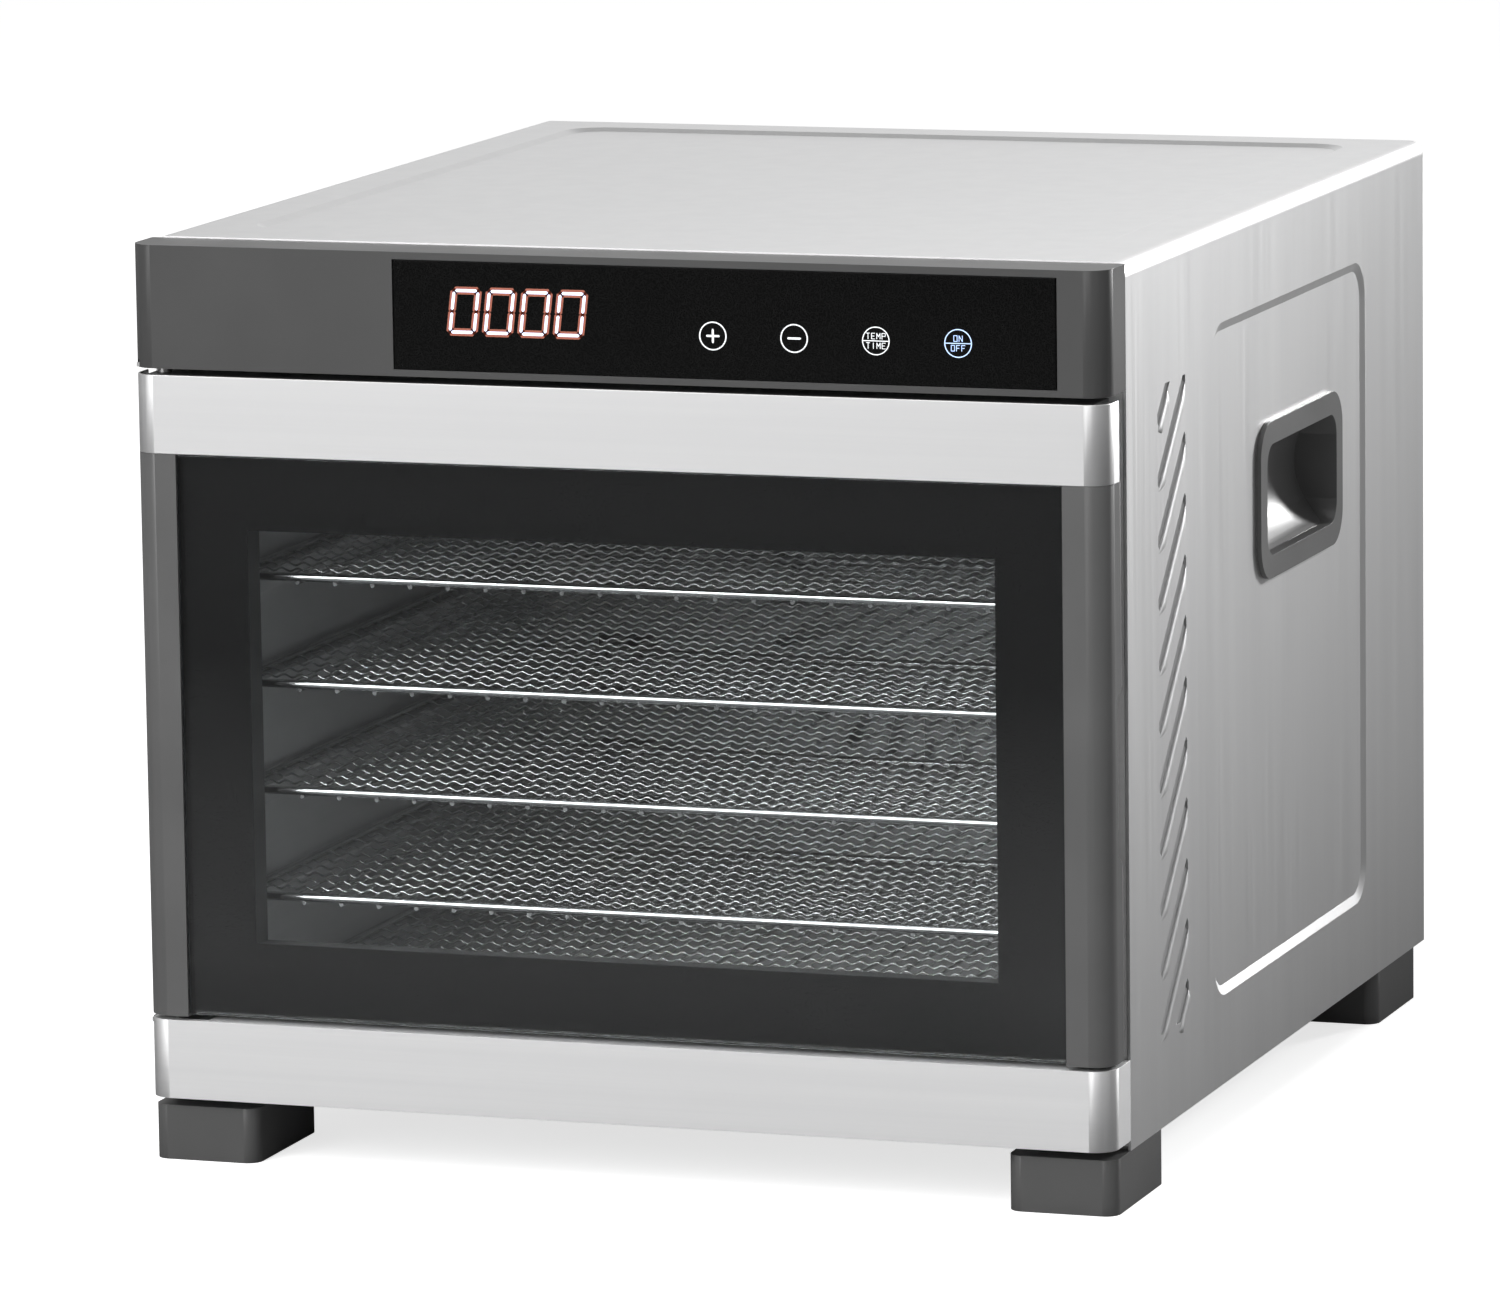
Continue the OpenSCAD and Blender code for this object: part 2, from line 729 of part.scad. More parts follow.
module door_inner_frame() {
  y0 = y_face + 0.8 + glass_t;
  color("dimgray") difference() {
    span([-x_glass, y0, z_glass], [x_glass, y_door_back, z_glass_top]);
    span([-x_window - 1.5, y0 - 1, z_window - 1.5], [x_window + 1.5, y_door_back + 1, z_window_top + 1.5]);
    difference() {
      span([-x_glass + 1.5, y0 - 1, z_glass + 1.5], [x_glass - 1.5, y_door_back - 1.5, z_glass_top - 1.5]);
      span([-x_window - 3, y0 - 2, z_window - 3], [x_window + 3, y_door_back + 1, z_window_top + 3]);
    }
  }
}

module door_seal() {
  x0 = inner_w + 1.5;
  y1 = y_shell - 0.5;
  color("gray") difference() {
    span([-x0 - 4, y_door_back, z_glass], [x0 + 4, y1, z_ceiling + 6]);
    span([-x0, y_door_back - 1, z_glass - 1], [x0, y1 + 1, z_ceiling + 1.5]);
  }
}

module hinge_pin_top() {
  color("silver") translate([pin_x, pin_y, z_band - 18]) cylinder(r = pin_r, h = z_fascia + 3.6 - z_band + 18);
}

module hinge_pin_bottom() {
  color("silver") translate([pin_x, pin_y, z_trim_top - 4]) cylinder(r = pin_r, h = 24);
}

module door_magnets() {
  color("dimgray") for (h = [0.2, 0.8]) {
    z = z_door + h * (z_band - z_door);
    span([half_w - 14, y_door_back, z - 10], [half_w - 6, y_frame - 1.5, z + 10]);
  }
}

// ---- trays ----

// A quarter bend of the rim wire.
module rim_bend(x, y, a) {
  translate([x, y, 0]) rotate([0, 0, a]) rotate_extrude(angle = 90)
    translate([rim_corner, 0]) circle(rim_wire / 2);
}

module tray_frame(n) {
  xc = x_rim - rim_corner;
  y0 = y_rim + rim_corner;
  y1 = y_rim + tray_d - rim_corner;
  r = rim_wire / 2;
  rib_z = -r - rib_wire / 2 + 0.5;
  ribs = floor((xc - 2) / rib_pitch);
  color("silver") translate([0, 0, tray_z(n)]) {
    for (s = [-1, 1]) rod_y(s * x_rim, 0, r, y0, y1);
    for (y = [y_rim, y_rim + tray_d])
      translate([-xc, y, 0]) rotate([0, 90, 0]) cylinder(r = r, h = 2 * xc);
    rim_bend(xc, y1, 0);
    rim_bend(-xc, y1, 90);
    rim_bend(-xc, y0, 180);
    rim_bend(xc, y0, 270);
    for (i = [-ribs:ribs]) rod_y(i * rib_pitch, rib_z, rib_wire / 2, y_rim - 0.6, y_rim + tray_d + 0.6);
  }
}

module tray_mesh(n) {
  w = x_rim - rim_wire / 2 - 0.1;
  y0 = y_rim + rim_wire / 2 + 0.1;
  y1 = y_rim + tray_d - rim_wire / 2 - 0.1;
  rows = floor((y1 - y0 - 20) / row_pitch);
  z0 = tray_z(n) - rim_wire / 2 + 0.5;
  color("silver") translate([0, 0, z0]) linear_extrude(mesh_t) difference() {
    translate([0, (y0 + y1) / 2]) rrect(2 * w, y1 - y0, rim_corner);
    for (i = [0:rows - 1]) for (s = [-1, 1])
      translate([s < 0 ? 10 - w : 2, y0 + 10 + i * row_pitch]) square([w - 12, row_pitch - 1.8]);
  }
}

module tray_1_frame() {
  tray_frame(1);
}

module tray_1_mesh() {
  tray_mesh(1);
}

module tray_2_frame() {
  tray_frame(2);
}

module tray_2_mesh() {
  tray_mesh(2);
}

module tray_3_frame() {
  tray_frame(3);
}

module tray_3_mesh() {
  tray_mesh(3);
}

module tray_4_frame() {
  tray_frame(4);
}

module tray_4_mesh() {
  tray_mesh(4);
}

module tray_5_frame() {
  tray_frame(5);
}

module tray_5_mesh() {
  tray_mesh(5);
}

module tray_6_frame() {
  tray_frame(6);
}

module tray_6_mesh() {
  tray_mesh(6);
}

outer_shell();
back_panel();
base_pan();
front_frame();
bottom_trim();
control_fascia();
touch_panel();
display_module();
key_springs();
control_board();
power_board();
cavity_ceiling();
cavity_floor();
left_liner();
right_liner();
rear_baffle();
heater_coil();
heater_posts();
fan_motor();
motor_bracket();
thermal_cutout();
temperature_probe();
left_handle_cup();
right_handle_cup();
foot_front_left();
foot_front_right();
foot_rear_left();
foot_rear_right();
foot_screws();
rear_screws();
cord_gland();
hinge_bracket_top();
hinge_bracket_bottom();
catch_plates();
fan_impeller();
fan_shaft();
door_glass();
door_glass_print();
door_left_post();
door_right_post();
door_top_rail();
door_top_band();
door_inner_frame();
door_seal();
hinge_pin_top();
hinge_pin_bottom();
door_magnets();
tray_1_frame();
tray_1_mesh();
tray_2_frame();
tray_2_mesh();
tray_3_frame();
tray_3_mesh();
tray_4_frame();
tray_4_mesh();
tray_5_frame();
tray_5_mesh();
tray_6_frame();
tray_6_mesh();
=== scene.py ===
# %% [markdown]
# # Food dehydrator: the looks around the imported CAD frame
# A bench-top dehydrator is a folded steel cabinet with a moulded front: a control strip, a glass door
# between two plastic posts, and a stack of wire trays. The CAD model already has the true shapes, so
# most pieces only need a finish. This script adds what a maker adds last: softened edges, woven
# screens, louvre lips, the lit digits and the key marks. Their places come from the frame's own boxes,
# apart from the louvre lips, whose measures are written out in their own step.

# %% Load the frame
import json
import math

import bpy
from mathutils import Matrix, Vector


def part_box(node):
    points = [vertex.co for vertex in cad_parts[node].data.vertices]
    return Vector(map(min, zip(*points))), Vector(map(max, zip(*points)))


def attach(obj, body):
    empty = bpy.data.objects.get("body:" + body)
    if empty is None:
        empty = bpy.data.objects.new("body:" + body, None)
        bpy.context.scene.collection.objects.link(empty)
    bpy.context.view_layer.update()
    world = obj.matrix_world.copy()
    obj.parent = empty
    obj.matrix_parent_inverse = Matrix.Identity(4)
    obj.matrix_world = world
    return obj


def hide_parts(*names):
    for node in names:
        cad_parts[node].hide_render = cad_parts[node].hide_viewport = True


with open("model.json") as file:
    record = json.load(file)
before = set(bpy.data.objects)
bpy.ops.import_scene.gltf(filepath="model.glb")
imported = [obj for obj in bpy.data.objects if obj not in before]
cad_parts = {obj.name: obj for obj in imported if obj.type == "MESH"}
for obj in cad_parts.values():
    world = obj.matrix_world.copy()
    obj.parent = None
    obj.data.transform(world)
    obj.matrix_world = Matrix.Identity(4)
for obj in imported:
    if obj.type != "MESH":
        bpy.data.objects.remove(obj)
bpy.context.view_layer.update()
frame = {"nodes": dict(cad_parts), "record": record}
nodes = frame["nodes"]
MM = 0.001
print("CAD nodes:", len(nodes))

# %% [markdown]
# ## Shader groups
# Brushed metal, moulded plastic and printed gloss share a few surface effects, so each effect is one
# node group. A group only gives out masks, values and heights. The shader that turns them into light
# stays in each material, where its plain numbers can be read and changed.

# %% Helpers for node groups


def new_group(name, inputs, outputs):
    """An empty shader group with float inputs (name, default) and float outputs."""
    tree = bpy.data.node_groups.new(name, "ShaderNodeTree")
    for label, value in inputs:
        kind = "NodeSocketVector" if isinstance(value, tuple) else "NodeSocketFloat"
        tree.interface.new_socket(label, in_out="INPUT", socket_type=kind).default_value = value
    for label in outputs:
        tree.interface.new_socket(label, in_out="OUTPUT", socket_type="NodeSocketFloat")
    return tree, tree.nodes.new("NodeGroupInput"), tree.nodes.new("NodeGroupOutput")


def add(tree, kind, **settings):
    """A node of that kind with its settings."""
    node = tree.nodes.new(kind)
    for key, value in settings.items():
        setattr(node, key, value)
    return node


def math_node(tree, operation, a, b=None, clamp=False):
    """A math node whose inputs are numbers or sockets; returns its output."""
    node = add(tree, "ShaderNodeMath", operation=operation, use_clamp=clamp)
    for index, value in enumerate((a, b)):
        if value is None:
            continue
        if isinstance(value, bpy.types.NodeSocket):
            tree.links.new(value, node.inputs[index])
        else:
            node.inputs[index].default_value = value
    return node.outputs[0]


def spread(tree, value, low, high):
    """Maps a 0 to 1 value to low to high."""
    node = add(tree, "ShaderNodeMapRange")
    tree.links.new(value, node.inputs["Value"])
    node.inputs["To Min"].default_value = low
    node.inputs["To Max"].default_value = high
    return node.outputs["Result"]


# %% [markdown]
# ### Brushed grain
# A steel sheet is brushed by dragging an abrasive belt along it, which leaves long fine scratches in
# one direction. Noise that is squeezed across the grain and stretched along it gives the same streaks.
# The Stretch vector says how fast the noise runs along X, Y and Z, so one group serves all panels.

# %% Brushed grain group


def make_grain_group():
    """Outputs streaks of one direction: fine, broad and their mix."""
    tree, given, out = new_group(
        "BrushedGrain", [("Stretch", (1.0, 1.0, 1.0))], ["Fine", "Broad", "Mix"]
    )
    place = add(tree, "ShaderNodeTexCoord")
    scaled = add(tree, "ShaderNodeVectorMath", operation="MULTIPLY")
    tree.links.new(place.outputs["Object"], scaled.inputs[0])
    tree.links.new(given.outputs["Stretch"], scaled.inputs[1])
    fine = add(tree, "ShaderNodeTexNoise")
    fine.inputs["Scale"].default_value = 1.0
    fine.inputs["Detail"].default_value = 4.0
    fine.inputs["Roughness"].default_value = 0.65
    tree.links.new(scaled.outputs[0], fine.inputs["Vector"])
    wide = add(tree, "ShaderNodeVectorMath", operation="SCALE")
    wide.inputs["Scale"].default_value = 0.12
    tree.links.new(scaled.outputs[0], wide.inputs[0])
    broad = add(tree, "ShaderNodeTexNoise")
    broad.inputs["Scale"].default_value = 1.0
    broad.inputs["Detail"].default_value = 2.0
    tree.links.new(wide.outputs[0], broad.inputs["Vector"])
    both = math_node(tree, "ADD", fine.outputs[0], broad.outputs[0])
    tree.links.new(fine.outputs[0], out.inputs["Fine"])
    tree.links.new(broad.outputs[0], out.inputs["Broad"])
    tree.links.new(math_node(tree, "MULTIPLY", both, 0.5), out.inputs["Mix"])
    return tree


def make_mould_group():
    """Outputs the fine pebble of a moulded skin and slow patches of handling wear."""
    tree, given, out = new_group("MouldSkin", [("Pebble", 2200.0)], ["Height", "Patch"])
    place = add(tree, "ShaderNodeTexCoord")
    pebble = add(tree, "ShaderNodeTexNoise")
    pebble.inputs["Detail"].default_value = 2.0
    tree.links.new(place.outputs["Object"], pebble.inputs["Vector"])
    tree.links.new(given.outputs["Pebble"], pebble.inputs["Scale"])
    patch = add(tree, "ShaderNodeTexNoise")
    patch.inputs["Scale"].default_value = 28.0
    patch.inputs["Detail"].default_value = 5.0
    tree.links.new(place.outputs["Object"], patch.inputs["Vector"])
    tree.links.new(pebble.outputs[0], out.inputs["Height"])
    tree.links.new(patch.outputs[0], out.inputs["Patch"])
    return tree


GRAIN = make_grain_group()
MOULD = make_mould_group()
print("groups:", [g.name for g in bpy.data.node_groups])

# %% [markdown]
# ## Materials
# Each material starts from one Principled shader. Numbers that stay the same all over are set on the
# shader itself, and only what varies across the surface is linked.

# %% Material helpers


def new_material(name, color, metallic=0.0, roughness=0.5, **extra):
    """A material with one Principled shader; returns (material, tree, shader)."""
    mat = bpy.data.materials.new(name)
    mat.use_nodes = True
    shader = mat.node_tree.nodes["Principled BSDF"]
    shader.inputs["Base Color"].default_value = (*color, 1.0)
    shader.inputs["Metallic"].default_value = metallic
    shader.inputs["Roughness"].default_value = roughness
    for label, value in extra.items():
        shader.inputs[label.replace("_", " ").title().replace("Ior", "IOR")].default_value = value
    mat.diffuse_color = (*color, 1.0)
    return mat, mat.node_tree, shader


def use_group(tree, group, **inputs):
    """An instance of a shader group with its inputs set."""
    node = add(tree, "ShaderNodeGroup", node_tree=group)
    for label, value in inputs.items():
        node.inputs[label].default_value = value
    return node


def bump(tree, shader, height, strength, distance):
    """Feeds a height into the shader's normal."""
    node = add(tree, "ShaderNodeBump")
    node.inputs["Strength"].default_value = strength
    node.inputs["Distance"].default_value = distance
    tree.links.new(height, node.inputs["Height"])
    tree.links.new(node.outputs["Normal"], shader.inputs["Normal"])


def tint(tree, shader, value, dark, light):
    """Base Color runs from dark to light as value goes from 0 to 1."""
    ramp = add(tree, "ShaderNodeMix", data_type="RGBA")
    ramp.inputs["A"].default_value = (*dark, 1.0)
    ramp.inputs["B"].default_value = (*light, 1.0)
    tree.links.new(value, ramp.inputs["Factor"])
    tree.links.new(ramp.outputs["Result"], shader.inputs["Base Color"])


def brushed(name, tone, stretch, rough=(0.24, 0.40), depth=0.00003, contrast=0.10):
    """Brushed steel whose streaks run along the axis with the small stretch."""
    mat, tree, shader = new_material(name, (tone, tone, tone * 1.01), metallic=1.0)
    grain = use_group(tree, GRAIN, Stretch=stretch)
    low = tone - contrast
    high = min(tone + contrast, 1.0)
    tint(tree, shader, grain.outputs["Mix"], (low, low, low * 1.01), (high, high, high))
    tree.links.new(spread(tree, grain.outputs["Fine"], *rough), shader.inputs["Roughness"])
    bump(tree, shader, grain.outputs["Fine"], 0.35, depth)
    return mat


def moulded(name, tone, rough=(0.38, 0.55), pebble=2200.0, strength=0.25):
    """Moulded plastic with a fine pebble skin and slightly uneven sheen."""
    mat, tree, shader = new_material(name, (tone, tone, tone * 1.04))
    skin = use_group(tree, MOULD, Pebble=pebble)
    tint(tree, shader, skin.outputs["Patch"], (tone * 0.85,) * 3, (tone * 1.15,) * 3)
    tree.links.new(spread(tree, skin.outputs["Patch"], *rough), shader.inputs["Roughness"])
    bump(tree, shader, skin.outputs["Height"], strength, 0.0001)
    return mat


def gloss(name, tone, speck, rough=0.12):
    """Printed black gloss with a very fine speckle in it."""
    mat, tree, shader = new_material(name, (tone,) * 3, roughness=rough, specular_ior_level=0.2)
    skin = use_group(tree, MOULD, Pebble=3200.0)
    dots = spread(tree, skin.outputs["Height"], -1.0, 2.0)
    tint(tree, shader, math_node(tree, "MULTIPLY", dots, 1.0, clamp=True), (tone,) * 3, (speck,) * 3)
    sheen = spread(tree, skin.outputs["Patch"], rough * 0.8, rough * 1.3)
    tree.links.new(sheen, shader.inputs["Roughness"])
    return mat


# %% [markdown]
# ### Finishes of the outside
# The bands are brushed left to right. They are probably one steel on the real thing. Here the door's
# band has a darker tone, only because the lamps below light it more than the bottom one. The wrapper
# is brushed along its fold, so its sides streak up and down and its top streaks left to right. The
# fascia, posts and feet are moulded in dark grey.

# %% Outside finishes
BAND = brushed("BandSteel", 0.90, (9.0, 900.0, 1400.0), rough=(0.50, 0.62), contrast=0.05)
DOOR_BAND = brushed("DoorBandSteel", 0.74, (9.0, 900.0, 1400.0), rough=(0.50, 0.62), contrast=0.05)
WRAP = brushed("WrapSteel", 0.78, (900.0, 900.0, 7.0), rough=(0.34, 0.48), contrast=0.06)
DARK = moulded("DarkPlastic", 0.052, rough=(0.34, 0.48))
POST = moulded("PostPlastic", 0.095, rough=(0.30, 0.42))
FOOT = moulded("FootPlastic", 0.075, rough=(0.40, 0.55))
CUP = moulded("GripPlastic", 0.09, rough=(0.35, 0.5))
PANEL = gloss("PanelGloss", 0.001, 0.007, rough=0.10)
PRINT = gloss("PrintedBorder", 0.001, 0.006, rough=0.12)

# %% [markdown]
# ### Finishes of the inside
# The cavity is coated grey sheet, the trays are polished stainless wire, and the parts behind the rear
# wall are plain zinc, alloy and circuit board.

# %% Inside finishes


def coated(name, tone, rough=(0.35, 0.5), metallic=0.6):
    """Coated sheet metal with a faint directional grain."""
    mat, tree, shader = new_material(name, (tone,) * 3, metallic=metallic)
    grain = use_group(tree, GRAIN, Stretch=(300.0, 6.0, 300.0))
    tint(tree, shader, grain.outputs["Mix"], (tone * 0.85,) * 3, (tone * 1.15,) * 3)
    tree.links.new(spread(tree, grain.outputs["Fine"], *rough), shader.inputs["Roughness"])
    return mat


LINER = coated("CavitySheet", 0.72, metallic=0.35)
SHEET = coated("GreySheet", 0.30)
ZINC = coated("ZincSteel", 0.62, rough=(0.25, 0.4), metallic=1.0)
WIRE = coated("TrayWire", 0.62, rough=(0.12, 0.20), metallic=1.0)
ALLOY = coated("FanAlloy", 0.70, rough=(0.3, 0.45), metallic=1.0)
TUBE = coated("HeaterTube", 0.22, rough=(0.35, 0.55), metallic=1.0)
BOARD = moulded("CircuitBoard", 0.05, rough=(0.3, 0.4), pebble=900.0)
CERAMIC = moulded("Ceramic", 0.75, rough=(0.25, 0.35))
RUBBER = moulded("SealRubber", 0.05, rough=(0.6, 0.75))


def clear_glass():
    """Door glass that bends the view but lets the lamps' light straight through."""
    mat, tree, shader = new_material(
        "ClearGlass", (0.93, 0.96, 0.97), roughness=0.0, transmission_weight=1.0, ior=1.45
    )
    path = add(tree, "ShaderNodeLightPath")
    clear = add(tree, "ShaderNodeBsdfTransparent")
    mix = add(tree, "ShaderNodeMixShader")
    tree.links.new(path.outputs["Is Shadow Ray"], mix.inputs["Fac"])
    tree.links.new(shader.outputs["BSDF"], mix.inputs[1])
    tree.links.new(clear.outputs["BSDF"], mix.inputs[2])
    tree.links.new(mix.outputs["Shader"], tree.nodes["Material Output"].inputs["Surface"])
    return mat


GLASS = clear_glass()

# %% Dress the CAD nodes
FINISHES = {
    "brushed_sheet": WRAP, "grey_sheet": SHEET, "dark_plastic": DARK, "foot_plastic": FOOT,
    "black_gloss": PANEL, "zinc_steel": ZINC, "circuit_board": BOARD, "heater_tube": TUBE,
    "motor_case": DARK, "ceramic": CERAMIC, "fan_alloy": ALLOY, "clear_glass": GLASS,
    "seal_rubber": RUBBER, "magnet": RUBBER, "tray_wire": WIRE,
}
SPECIAL = {
    "bottom_trim": BAND, "door_top_band": DOOR_BAND, "door_glass_print": PRINT,
    "door_left_post": POST, "door_right_post": POST,
    "left_handle_cup": CUP, "right_handle_cup": CUP, "left_liner": LINER, "right_liner": LINER,
    "cavity_ceiling": LINER, "cavity_floor": LINER, "rear_baffle": LINER, "front_frame": LINER,
}
slot_of = {row["node"]: row["material_slot"] for row in frame["record"]["subparts"]}


def dress(name, material):
    """Gives a CAD node one material in every slot."""
    mesh = nodes[name].data
    mesh.materials.clear()
    mesh.materials.append(material)


for name in nodes:
    dress(name, SPECIAL.get(name, FINISHES[slot_of[name]]))
print("dressed", len(nodes), "nodes")

# %% [markdown]
# ## Softened edges
# No pressed or moulded edge is perfectly sharp. A small bevel catches a thin line of light along each
# edge. The imported meshes are split along sharp edges, so they are welded first.

# %% Soften edges


def soften(name, width, segments=2, angle=35):
    """Welds a node's mesh and rounds its edges by width in millimetres."""
    obj = nodes[name]
    weld = obj.modifiers.new("Weld", "WELD")
    weld.merge_threshold = 0.00001
    bevel = obj.modifiers.new("Edges", "BEVEL")
    bevel.width = width * MM
    bevel.segments = segments
    bevel.limit_method = "ANGLE"
    bevel.angle_limit = math.radians(angle)
    bevel.harden_normals = True


for name, width in {
    "control_fascia": 0.5, "door_left_post": 0.6, "door_right_post": 0.6, "bottom_trim": 0.3,
    "door_top_band": 0.3, "foot_front_left": 1.6, "foot_front_right": 1.6, "foot_rear_left": 1.6,
    "foot_rear_right": 1.6, "touch_panel": 0.4, "door_glass": 0.4, "left_handle_cup": 1.0,
    "right_handle_cup": 1.0,
}.items():
    soften(name, width)

# %% [markdown]
# ## Crimped tray screens
# Each tray holds a screen of thin wire. The cross wires are crimped into a small wave and lie on thin
# straight wires. One screen mesh is made and shared by all six trays.

# %% Screens
WAVE = 6.0 * MM
CRIMP = 0.55 * MM
WEFT_R = 0.42 * MM
WARP_R = 0.22 * MM
ROW = 12.6 * MM
WARP = 13.7 * MM
MARGIN = 4 * MM
WAVE_STEPS = 8
RING = ((1, 0), (0, 1), (-1, 0), (0, -1))


def tube(points, across, up, radius, verts, faces):
    """Adds a thin four-sided tube along points to verts and faces."""
    first = len(verts)
    for p in points:
        for a, b in RING:
            verts.append(p + across * (a * radius) + up * (b * radius))
    for i in range(len(points) - 1):
        for j in range(4):
            k = (j + 1) % 4
            base = first + 4 * i
            faces.append((base + j, base + k, base + 4 + k, base + 4 + j))
    faces.append(tuple(first + j for j in (3, 2, 1, 0)))
    last = first + 4 * (len(points) - 1)
    faces.append(tuple(last + j for j in range(4)))


def screen_mesh(low, high):
    """The wires between the corners low and high, with z = 0 at the screen's middle."""
    verts, faces = [], []
    steps = int((high.x - low.x) / WAVE * WAVE_STEPS)
    rows = int((high.y - low.y - 2 * MARGIN) / ROW)
    for r in range(rows + 1):
        y = low.y + MARGIN + r * ROW
        side = 1 if r % 2 else -1
        points = []
        for i in range(steps + 1):
            x = low.x + (high.x - low.x) * i / steps
            points.append(Vector((x, y, side * CRIMP * math.sin(2 * math.pi * x / WAVE))))
        tube(points, Vector((0, 1, 0)), Vector((0, 0, 1)), WEFT_R, verts, faces)
    count = int(high.x / WARP)
    for c in range(-count, count):
        x = (c + 0.5) * WARP
        ends = [Vector((x, low.y, -CRIMP)), Vector((x, high.y, -CRIMP))]
        tube(ends, Vector((1, 0, 0)), Vector((0, 0, 1)), WARP_R, verts, faces)
    mesh = bpy.data.meshes.new("screen")
    mesh.from_pydata([tuple(v) for v in verts], [], faces)
    for face in mesh.polygons:
        face.use_smooth = True
    mesh.materials.append(WIRE)
    return mesh


shared = None
for n in range(1, 7):
    low, high = (Vector(c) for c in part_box(f"tray_{n}_mesh"))
    if shared is None:
        shared = screen_mesh(low, high)
    screen = bpy.data.objects.new(f"tray_{n}_screen", shared)
    screen.location = (0, 0, (low.z + high.z) / 2)
    bpy.context.collection.objects.link(screen)
    bpy.context.view_layer.update()
    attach(screen, f"tray_{n}")
    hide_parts(f"tray_{n}_mesh")
print("screen faces:", len(shared.polygons))

# %% [markdown]
# ## Louvre lips
# Each slanted vent is sheared open and its lower edge is pushed out into a smooth rounded lip. The lip
# is what catches the light, so it is added here as a half-round strip that fades out at both ends. The
# frame gives only the wrapper's box, so the slots' places, sizes and count are copied from the CAD
# source. They don't follow it: if the louvres change there, the values here have to be changed too.

# %% Louvre lips
shell_low, shell_high = (Vector(c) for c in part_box("outer_shell"))
LOUVRE_Y = shell_low.y + 36 * MM
LOUVRE_Z = shell_low.z + 32 * MM
LOUVRE_TOP = shell_high.z - 46 * MM
LOUVRE_RUN = 33 * MM
LOUVRE_STEP = 20.8 * MM
SLOT_DROP = 2.0 * MM * math.sqrt(2)
LOUVRES = range(-1, 11)
LIP_W = 4.4 * MM
LIP_OUT = 0.7 * MM
LIP_SUNK = 0.05 * MM
LIP_SWELL = 2.6
LIP_THINNEST = 0.05
LIP_SHORTEST = 4 * MM
half_width = shell_high.x


def lip(k, side, verts, faces, steps=14, round_steps=6):
    """The half-round strip below slot k, cut to the louvres' block."""
    low_y = max(0.0, -k * LOUVRE_STEP)
    high_y = min(LOUVRE_RUN, LOUVRE_TOP - LOUVRE_Z - k * LOUVRE_STEP)
    if high_y - low_y < LIP_SHORTEST:
        return
    first = len(verts)
    for i in range(steps + 1):
        t = i / steps
        run = low_y + (high_y - low_y) * t
        swell = min(1.0, math.sin(math.pi * t) * LIP_SWELL)
        for j in range(round_steps + 1):
            a = math.pi * j / round_steps
            off = LIP_W * (0.5 - 0.5 * math.cos(a)) * max(swell, LIP_THINNEST)
            out = LIP_OUT * math.sin(a) * swell
            y = LOUVRE_Y + run + off * math.sqrt(0.5)
            z = LOUVRE_Z + k * LOUVRE_STEP + run - SLOT_DROP - off * math.sqrt(0.5)
            verts.append((side * (half_width - LIP_SUNK + out), y, z))
    wide = round_steps + 1
    for i in range(steps):
        for j in range(round_steps):
            a = first + i * wide + j
            quad = (a, a + 1, a + wide + 1, a + wide)
            faces.append(quad if side > 0 else quad[::-1])


for side, label in ((1, "right"), (-1, "left")):
    verts, faces = [], []
    for k in LOUVRES:
        lip(k, side, verts, faces)
    mesh = bpy.data.meshes.new(f"louvre_lips_{label}")
    mesh.from_pydata(verts, [], faces)
    for face in mesh.polygons:
        face.use_smooth = True
    mesh.materials.append(WRAP)
    lips = bpy.data.objects.new(f"louvre_lips_{label}", mesh)
    bpy.context.collection.objects.link(lips)
    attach(lips, "cabinet")
print("lip faces per side:", len(faces))

# %% [markdown]
# ## Marks on the touch panel
# Behind the black panel sit four seven-segment digits and four ringed keys. On the real panel they
# shine through. Here each mark is a thin solid on the panel's face, built from bars and rings, so it
# stays sharp at any size.

# %% Mark helpers
FACE_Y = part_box("touch_panel")[0][1]
MARK_T = 0.12 * MM


def glow(name, color, strength):
    """A lit mark: a dark body with plain emission that is uneven by a faint patch."""
    mat, tree, shader = new_material(name, color, roughness=0.4)
    shader.inputs["Emission Strength"].default_value = strength
    skin = use_group(tree, MOULD, Pebble=1500.0)
    ramp = add(tree, "ShaderNodeMix", data_type="RGBA")
    ramp.inputs["A"].default_value = (*(c * 0.9 for c in color), 1.0)
    ramp.inputs["B"].default_value = (*color, 1.0)
    tree.links.new(skin.outputs["Patch"], ramp.inputs["Factor"])
    tree.links.new(ramp.outputs["Result"], shader.inputs["Emission Color"])
    return mat


def prism(name, outlines, material, thick=MARK_T, body="cabinet"):
    """Thin solids from outlines in the panel's plane: lists of (x, z) in metres."""
    verts, faces = [], []
    for outline in outlines:
        first, count = len(verts), len(outline)
        for y in (FACE_Y - thick, FACE_Y + MARK_T):
            verts += [(x, y, z) for x, z in outline]
        faces.append(tuple(first + i for i in range(count)))
        faces.append(tuple(first + count + i for i in reversed(range(count))))
        for i in range(count):
            j = (i + 1) % count
            faces.append((first + j, first + i, first + count + i, first + count + j))
    mesh = bpy.data.meshes.new(name)
    mesh.from_pydata(verts, [], faces)
    mesh.materials.append(material)
    obj = bpy.data.objects.new(name, mesh)
    bpy.context.collection.objects.link(obj)
    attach(obj, body)
    return obj


def bar(x0, z0, x1, z1, width):
    """A pointed bar from one point to another."""
    along = Vector((x1 - x0, z1 - z0)).normalized()
    side = Vector((-along.y, along.x)) * width / 2
    a, b = Vector((x0, z0)), Vector((x1, z1))
    tip = along * width / 2
    return [tuple(p) for p in (a - tip, a + side, b + side, b + tip, b - side, a - side)]


